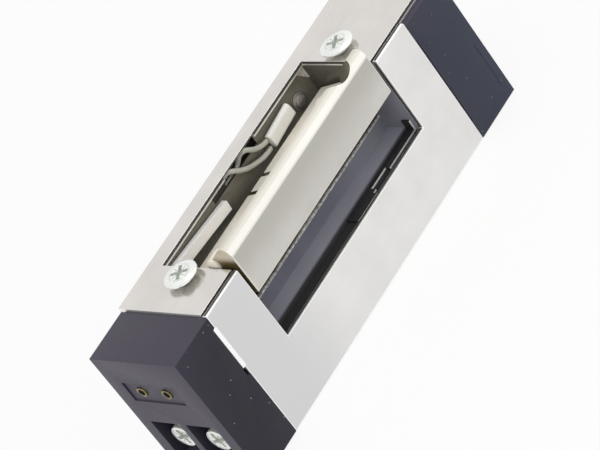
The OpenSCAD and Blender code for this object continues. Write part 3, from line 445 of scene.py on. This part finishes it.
def drawn(node, name, surface, fatten, rides=True):
    """Stands for a CAD wire or spring, its section made round, then swelled to keep its thickness.

    fatten is the swelling in millimetres. rides is False for a piece that bends between two bodies.
    """
    piece = copied(node, name)
    rounder = piece.modifiers.new("round_section", "SUBSURF")
    rounder.levels = 1
    rounder.render_levels = 1
    apply_all(piece)
    bpy.ops.object.mode_set(mode="EDIT")
    bpy.ops.mesh.select_all(action="SELECT")
    bpy.ops.transform.shrink_fatten(value=fatten * MM)
    bpy.ops.object.mode_set(mode="OBJECT")
    bpy.ops.object.shade_smooth_by_angle(angle=ROUND_SMOOTH)
    piece.data.materials.clear()
    piece.data.materials.append(surface)
    if rides:
        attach(piece, body_of(node))
    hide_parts(node)
    return piece


def scored(piece, *planes):
    """Cuts a piece's faces along planes, each an axis and a place on it, to give each side its own look."""
    only(piece)
    bpy.ops.object.mode_set(mode="EDIT")
    for axis, place in planes:
        facing = Vector((0, 0, 0))
        facing["XYZ".index(axis)] = 1
        bpy.ops.mesh.select_all(action="SELECT")
        bpy.ops.mesh.bisect(plane_co=facing * place, plane_no=facing)
    bpy.ops.object.mode_set(mode="OBJECT")


def repaint(piece, surfaces, choose):
    """Adds surfaces to a piece, and gives each face the one that choose picks for it, if it picks one."""
    for surface in surfaces:
        piece.data.materials.append(surface)
    for face in piece.data.polygons:
        picked = choose(face)
        if picked:
            face.material_index = piece.data.materials.find(picked.name)


# Shares of an axis in a face's normal
SLIGHT = 0.3      # with less, the face hardly looks that way
MAINLY = 0.5      # with more, it looks mainly that way
STRAIGHT = 0.9      # with more, it looks straight that way


def is_edge_of(face, across):
    """Whether a face that isn't broken off is an edge of a sheet whose thickness runs along across."""
    return face.material_index == 0 and abs(face.normal.dot(across)) < SLIGHT


def solids(mesh):
    """The faces of each separate solid in a mesh."""
    owner = list(range(len(mesh.vertices)))

    def first(corner):
        while owner[corner] != corner:
            corner = owner[corner]
        return corner

    for edge in mesh.edges:
        one, other = sorted(first(corner) for corner in edge.vertices)
        owner[other] = one
    groups = {}
    for face in mesh.polygons:
        groups.setdefault(first(face.vertices[0]), []).append(face)
    return list(groups.values())


def middle_of(faces):
    """The middle of the box round some faces' centres."""
    spots = [[face.center[axis] for face in faces] for axis in range(3)]
    return Vector([(min(along) + max(along)) / 2 for along in spots])


def off_axis(face, middle, axis):
    """How far a face's centre lies from the line through middle along an axis."""
    away = face.center - middle
    away[axis] = 0
    return away.length


# The front plate: edges sheared in the opening and along the lip side, burnished elsewhere, all partly
# painted light
OPENING = 29.5 * MM      # half the length of the opening in the plates
THROUGH_FRONT = Vector((0, 0, 1))


def front_look(face):
    """The finish of one of the front plate's edges."""
    if not is_edge_of(face, THROUGH_FRONT):
        return None
    inner = abs(face.center.x) < OPENING or face.normal.y < -MAINLY
    return front_edge if inner else burnish_and_highlight


front = dressed("front_plate", "face_sheet", plate_steel, edge=0.2, broken_edge_finish=burnish_and_highlight)
repaint(front, [front_edge], front_look)

# The lip plate: its edges are sheared, and its tongue, between two heights, is polished and painted near
# white
TONGUE = -41.35 * MM      # X where the tongue begins
TONGUE_LOW = 20.4 * MM
TONGUE_TOP = 32 * MM
THROUGH_LIP = Vector((0, 1, 0))


def lip_look(face):
    """The finish of the lip plate's edges and of its tongue."""
    if face.center.x < TONGUE and TONGUE_LOW < face.center.z < TONGUE_TOP:
        return burnish_and_highlight
    return lip_edge if is_edge_of(face, THROUGH_LIP) else None


lip = dressed("lip_plate", "lip_sheet", lip_steel, edge=0.2, broken_edge_finish=burnish_and_highlight)
scored(lip, ("X", TONGUE), ("Z", TONGUE_LOW), ("Z", TONGUE_TOP))
repaint(lip, [lip_edge], lip_look)

# The keeper: one casting with six looks
LIP = -12.9 * MM      # Y below which the edges of the keeper's outer flat lie
LONG = 4 * MM      # edges there that are longer than this are broken
CREST = 38.2 * MM      # height above which the crest is painted pale and bright
HOLLOW = Vector((0, 0.02 * MM, 35.7 * MM))      # middle of the round hollow that takes the latch
HOLLOW_R = 5.6 * MM
BOSS = Vector((0, -6 * MM, 35.4 * MM))      # middle of the round stop boss on the lip
BOSS_R = 2 * MM
NOTCH = (12 * MM, 27.4 * MM)      # X between which the round notch lies, bored square to the sloped top
NOTCH_SQUARE = 0.05      # most that the Y and Z of a normal differ by there
NOTCH_BACK = -0.15      # most that its X may be on the side painted as shade
POCKET = -7.5 * MM      # Y beyond which faces that look up lie in the pocket
UPWARD = 0.05      # least share of Z in the normal of a face that looks up


def keeper_breaks(start, end):
    """Whether an edge of the keeper, given by its ends, is broken: the long ones round its outer flat."""
    return max(start.y, end.y) < LIP and (end - start).length > LONG


def keeper_look(face):
    """The finish of one of the keeper's faces, where it isn't satin, or worn and painted bright on a broken
    edge.

    The crest is painted pale, its sides carry a painted highlight, the pocket and the boss painted light, and
    the end and notch painted shade.
    """
    level = Vector((0, face.center.y, face.center.z))
    at_boss = (level - BOSS).length < BOSS_R and face.normal.z > -MAINLY
    in_notch = NOTCH[0] < face.center.x < NOTCH[1] and abs(face.normal.y - face.normal.z) < NOTCH_SQUARE
    if in_notch and face.normal.x < NOTCH_BACK:
        return keeper_notch_shade
    if face.normal.x < -STRAIGHT and not at_boss and face.center.x < 0:
        return keeper_end
    if face.center.z > CREST and face.normal.z > MAINLY:
        return keeper_crest
    if face.center.z > CREST and face.normal.z > SLIGHT:
        return keeper_wear_and_highlight
    in_pocket = face.center.y > POCKET and face.normal.z > UPWARD
    return keeper_painted_light if at_boss or in_pocket or (level - HOLLOW).length < HOLLOW_R else None


keeper = dressed("keeper", "cast_keeper", keeper_nickel, edge=0.3, segments=6, angle=20,
                 broken_edge_finish=keeper_wear_and_highlight, smooth=17, breaks=keeper_breaks)
repaint(keeper, [keeper_painted_light, keeper_end, keeper_crest, keeper_notch_shade], keeper_look)

# The end blocks: the end block's broken edges are pressed back to the far end of the CAD parts' box
dressed("terminal_cap", "terminal_block", block_nylon, edge=0.25, segments=3)
end_block = dressed("top_cap", "end_block", block_nylon, edge=0.25, segments=3)
for corner in end_block.data.vertices:
    corner.co.x = min(corner.co.x, cad_high[0])

# The case: one moulding with eight looks
DIVIDER = -2.4 * MM      # Y of the wall between the recess and the pocket
SKIN = 9.72 * MM      # Y where the pocket's far wall ends and the channel's notch begins
CHANNEL_BACK = 11.85 * MM      # Y where that notch ends
CHANNEL_FLOOR = 31 * MM
CORNER = 25 * MM      # X beyond which the pocket is cut away
GROOVE = -8.4 * MM      # Y of the groove's inner edge
RECESS_FLOOR = 15.6 * MM
FLOOR_OF_POCKET = 14.5 * MM
RUBBED_AND_GLINTING = 18.75 * MM      # height above which the wall between the two is worn and painted with glints
WALL_TOP = 19.3 * MM


def case_look(face):
    """The finish of one of the case's faces in the opening, where it isn't plain.

    The pocket is brown-grey with painted shade on its end wall, the channel painted shade and its corner
    painted light. In the recess the floor and ends are painted light, the groove painted shade, and the
    wall's edge is worn with painted glints.
    """
    spot = face.center
    if abs(spot.x) >= OPENING or spot.z <= FLOOR_OF_POCKET:
        return None
    if DIVIDER < spot.y < SKIN:
        return pocket_nylon
    if spot.y < GROOVE and spot.z < RECESS_FLOOR:
        return groove_shade
    if SKIN < spot.y < CHANNEL_BACK and spot.x > CORNER:
        return corner_nylon
    if SKIN < spot.y < CHANNEL_BACK and spot.z > CHANNEL_FLOOR:
        return channel_nylon
    if spot.y >= DIVIDER:
        return None
    if RUBBED_AND_GLINTING < spot.z < WALL_TOP and abs(face.normal.x) < MAINLY:
        return edge_nylon
    if face.normal.z > STRAIGHT:
        return floor_nylon
    return end_nylon if abs(face.normal.x) > STRAIGHT else None


case = dressed("housing", "moulded_case", grey_nylon, edge=0.1)
scored(case, ("Y", DIVIDER), ("Y", SKIN), ("Z", RUBBED_AND_GLINTING))
repaint(case, [pocket_nylon, groove_shade, channel_nylon, floor_nylon, edge_nylon, corner_nylon, end_nylon],
        case_look)

# The back cover, and the liner in the recess with its cut edges bright, partly as a painted highlight
dressed("back_cover", "back_sheet", cover_zinc, edge=0.12)
LINER_CUT = 0.6      # share of Y in the normal of a cut edge, its corner included
liner = dressed("recess_liner", "liner_sheet", liner_black, edge=0.06)
repaint(liner, [liner_steel], lambda face: liner_steel if abs(face.normal.y) > LINER_CUT else None)

# Screws: bright, with painted shade in their recesses. Each row ends with a screw's axis and the way its head
# looks
RECESS_R = 2.4 * MM      # reach of a cross recess from its screw's middle
RECESS_DEEP = 1.3 * MM
RIM_DEEP = 0.04 * MM      # what lies nearer the head's top than this stays bright
for node, name, edge, axis, facing in (("face_screws", "plate_screws", 0.03, 2, 1),
                                       ("terminal_screws", "clamp_screws", 0.03, 0, -1),
                                       ("cover_screws", "back_screws", 0.02, 2, -1)):
    screws = dressed(node, name, screw_zinc, edge=edge)
    screws.data.materials.append(screw_recess_shade)
    for faces in solids(screws.data):
        middle = middle_of(faces)
        outermost = max(facing * face.center[axis] for face in faces)
        for face in faces:
            deep = outermost - facing * face.center[axis]
            if RIM_DEEP < deep < RECESS_DEEP and off_axis(face, middle, axis) < RECESS_R:
                face.material_index = 1

# Sockets: brass rims with bores painted dark as their shade
SOCKET_BORE = 0.95 * MM      # reach of a socket's bore, painted as shade, from its middle
rims = dressed("socket_rims", "brass_rims", brass_dark, edge=0.12)
rims.data.materials.append(groove_shade)
for faces in solids(rims.data):
    middle = middle_of(faces)
    for face in faces:
        if off_axis(face, middle, 0) < SOCKET_BORE and abs(face.normal.x) < STRAIGHT:
            face.material_index = 1

# What shows on the pocket's far wall
dressed("sense_lever", "sensing_bar", ivory_acetal, edge=0.2, segments=3)
dressed("lead_sleeve", "joint_sleeve", sleeve_white, edge=0.2, segments=3)
dressed("wall_rivet", "flat_rivet", rivet_steel, edge=0.2, segments=3)

# Wires and springs: what a subdivision takes off a section, the swelling gives back
WIRE_SWELL = 0.03      # in millimetres, as is the next
SPRING_SWELL = 0.025
drawn("wire_a", "hookup_wire_a", wire_grey, WIRE_SWELL)
drawn("wire_b", "hookup_wire_b", wire_grey, WIRE_SWELL)
drawn("coil_lead_a", "coil_lead_red", lead_red, WIRE_SWELL)
drawn("coil_lead_b", "coil_lead_black", lead_black, WIRE_SWELL)
# The keeper's spring is held in the case at one end, and turns with the keeper at the other
torsion_spring = drawn("keeper_spring", "keeper_torsion_spring", spring_steel, SPRING_SWELL,
                       rides=False)
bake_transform(torsion_spring)
# The plunger's spring stands on the yoke, and the plunger's ring presses it shorter
return_spring = drawn("plunger_spring", "plunger_return_spring", spring_steel, SPRING_SWELL)
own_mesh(return_spring)

# The winding: one helix of enamelled wire as its outer layer, over a tube for the layers below
(wind_low_x, wind_low_y, wind_low_z), (wind_high_x, wind_high_y, wind_high_z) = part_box("coil_winding")
WIRE_R = 0.25 * MM
WIRE_SIDES = 8
TURN_STEPS = 24
TUBE_SIDES = 48
BORE_R = 3.4 * MM
WOUND_R = (wind_high_z - wind_low_z) / 2
WOUND_LEN = wind_high_x - wind_low_x
LAYERS_R = WOUND_R - WIRE_R
TURNS = int(WOUND_LEN / (2 * WIRE_R)) - 1
wound_axis = (0, (wind_low_y + wind_high_y) / 2, (wind_low_z + wind_high_z) / 2)


def helix_of_wire(name):
    """The outer layer: a circle on the first turn, swept along the coil and closed at both ends."""
    bpy.ops.object.select_all(action="DESELECT")
    bpy.ops.mesh.primitive_circle_add(vertices=WIRE_SIDES, radius=WIRE_R, location=wound_axis,
                                      rotation=(math.pi / 2, 0, 0))
    wire = bpy.context.object
    wire.name = name
    bpy.ops.object.transform_apply(location=False, rotation=True, scale=False)
    bpy.ops.object.mode_set(mode="EDIT")
    bpy.ops.transform.translate(value=(wind_low_x + WIRE_R, 0, LAYERS_R))
    bpy.ops.object.mode_set(mode="OBJECT")
    sweep = wire.modifiers.new("helix", "SCREW")
    sweep.axis = "X"
    sweep.screw_offset = 2 * WIRE_R
    sweep.iterations = TURNS
    sweep.steps = TURN_STEPS
    sweep.render_steps = TURN_STEPS
    apply_all(wire)
    bpy.ops.object.mode_set(mode="EDIT")
    bpy.ops.mesh.select_all(action="SELECT")
    bpy.ops.mesh.fill_holes(sides=WIRE_SIDES)
    bpy.ops.mesh.select_all(action="SELECT")
    bpy.ops.mesh.normals_make_consistent(inside=False)
    bpy.ops.object.mode_set(mode="OBJECT")
    return wire


def tube_of_layers():
    """The layers below, left selected: a cylinder whose ends are inset and joined through the middle."""
    bpy.ops.object.select_all(action="DESELECT")
    bpy.ops.mesh.primitive_cylinder_add(vertices=TUBE_SIDES, radius=LAYERS_R, depth=WOUND_LEN,
                                        location=((wind_low_x + wind_high_x) / 2,) + wound_axis[1:],
                                        rotation=(0, math.pi / 2, 0))
    tube = bpy.context.object
    bpy.ops.object.mode_set(mode="EDIT")
    bpy.ops.mesh.select_mode(type="FACE")
    bpy.ops.mesh.select_all(action="DESELECT")
    bpy.ops.object.mode_set(mode="OBJECT")
    for face in tube.data.polygons:
        face.select = len(face.vertices) == TUBE_SIDES
    bpy.ops.object.mode_set(mode="EDIT")
    bpy.ops.mesh.inset(thickness=LAYERS_R - BORE_R, use_even_offset=True)
    bpy.ops.mesh.bridge_edge_loops()
    bpy.ops.object.mode_set(mode="OBJECT")


winding = helix_of_wire("wound_coil")
tube_of_layers()
winding.select_set(True)
bpy.context.view_layer.objects.active = winding
bpy.ops.object.join()
bpy.ops.object.transform_apply(location=True, rotation=True, scale=True)
bpy.ops.object.shade_smooth_by_angle(angle=ROUND_SMOOTH)
winding.data.materials.append(coil_copper)
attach(winding, body_of("coil_winding"))
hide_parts("coil_winding")

# Pieces inside keep their CAD shape and get the finish of the real material
for node, surface in {
        "keeper_pin": pin_steel, "keeper_washers": washer_nylon, "bobbin": bobbin_plastic,
        "solenoid_yoke": yoke_iron, "solenoid_core": yoke_iron,
        "plunger": pin_steel, "plunger_pin": pin_steel, "plunger_ring": brass,
        "locking_lever": pin_steel, "lever_pin": pin_steel, "sense_pin": pin_steel,
        "switch_body": switch_plastic, "switch_button": button_red, "terminal_clamps": brass}.items():
    for holder in frame["nodes"][node].material_slots:
        holder.material = surface


def seen(tree):
    """1 for rays from the camera or by way of a shiny or clear piece, and 0 for light that spreads."""
    rays = add(tree, "ShaderNodeLightPath").outputs
    direct = add(tree, "ShaderNodeMath", {"operation": "MAXIMUM"},
                 {0: rays["Is Camera Ray"], 1: rays["Is Glossy Ray"]}).outputs[0]
    return add(tree, "ShaderNodeMath", {"operation": "MAXIMUM"},
               {0: direct, 1: rays["Is Transmission Ray"]}).outputs[0]


# Floor: smooth white card, seen almost as its own white, with the shadow kept faint
FLOOR_R = 3.0      # in metres
FLOOR_DOWN = 0.3 * MM      # how far the card lies below the strike
CARD_GLOW = 0.86      # share of its own white in what is seen
bpy.ops.object.select_all(action="DESELECT")
bpy.ops.mesh.primitive_circle_add(vertices=96, radius=FLOOR_R, fill_type="NGON",
                                  location=(0, 0, -FLOOR_DOWN))
floor = bpy.context.object
floor.name = "floor"
card = bpy.data.materials.new("white_card")
card.use_nodes = True
sheet = card.node_tree
sheet.nodes.remove(sheet.nodes["Principled BSDF"])
glow = add(sheet, "ShaderNodeMath", {"operation": "MULTIPLY"}, {0: seen(sheet), 1: CARD_GLOW}).outputs[0]
paper = add(sheet, "ShaderNodeBsdfDiffuse", None, {"Color": linear("#f4f4f2")}).outputs["BSDF"]
white = add(sheet, "ShaderNodeEmission", None, {"Color": (1, 1, 1, 1), "Strength": 1.0}).outputs["Emission"]
whole = add(sheet, "ShaderNodeMixShader", None, {0: glow, 1: paper, 2: white}).outputs["Shader"]
sheet.links.new(whole, sheet.nodes["Material Output"].inputs["Surface"])
floor.data.materials.append(card)

# Surroundings: an even white studio, dimmer as a light than it looks
SKY_LIGHT = 0.6      # its strength for light that spreads
world = bpy.data.worlds.new("white_studio")
bpy.context.scene.world = world
world.use_nodes = True
sky = world.node_tree
level = add(sky, "ShaderNodeMapRange", None,
            {"Value": seen(sky), "To Min": SKY_LIGHT, "To Max": 1.0}).outputs["Result"]
sky.links.new(level, sky.nodes["Background"].inputs["Strength"])
sky.nodes["Background"].inputs["Color"].default_value = (1, 1, 1, 1)

LAMP_AIM = Vector((0, 0, 0.02))      # the middle of the strike


def softbox(name, toward, distance, wide, high, power):
    """A soft lamp, in metres and watts, that lights the strike from that way and doesn't show itself."""
    data = bpy.data.lights.new(name, "AREA")
    data.shape = "RECTANGLE"
    data.size = wide
    data.size_y = high
    data.energy = power
    lamp = bpy.data.objects.new(name, data)
    bpy.context.scene.collection.objects.link(lamp)
    aim = Vector(toward).normalized()
    lamp.location = aim * distance + LAMP_AIM
    lamp.rotation_euler = aim.to_track_quat("Z", "Y").to_euler()
    lamp.visible_camera = False


softbox("overhead", (0.42, -0.12, 0.9), distance=1.0, wide=0.7, high=0.7, power=2.2)
softbox("front_low", (0.456, -0.885, 0.19), distance=0.9, wide=1.0, high=0.3, power=2.2)
softbox("camera_side", (-0.5, -0.55, 0.67), distance=1.2, wide=0.6, high=0.6, power=2.2)
softbox("end_side", (-0.9, 0.2, 0.3), distance=1.0, wide=0.5, high=0.5, power=1.4)

# Camera: the photograph's view, along and down at the front face and the lip face, rolled
CAMERA_AT = (-0.33756, -0.51780, 0.41782)
CAMERA_TURN = (50.897, 30.482, -55.328)      # degrees about X, Y and Z
camera_data = bpy.data.cameras.new("camera")
camera_data.lens = 210.5
camera_data.sensor_width = 36
camera_data.clip_start = 0.01
camera = bpy.data.objects.new("camera", camera_data)
bpy.context.scene.collection.objects.link(camera)
camera.location = CAMERA_AT
camera.rotation_euler = Euler([math.radians(turn) for turn in CAMERA_TURN])
bpy.context.scene.camera = camera
bpy.context.scene.view_settings.view_transform = "Standard"
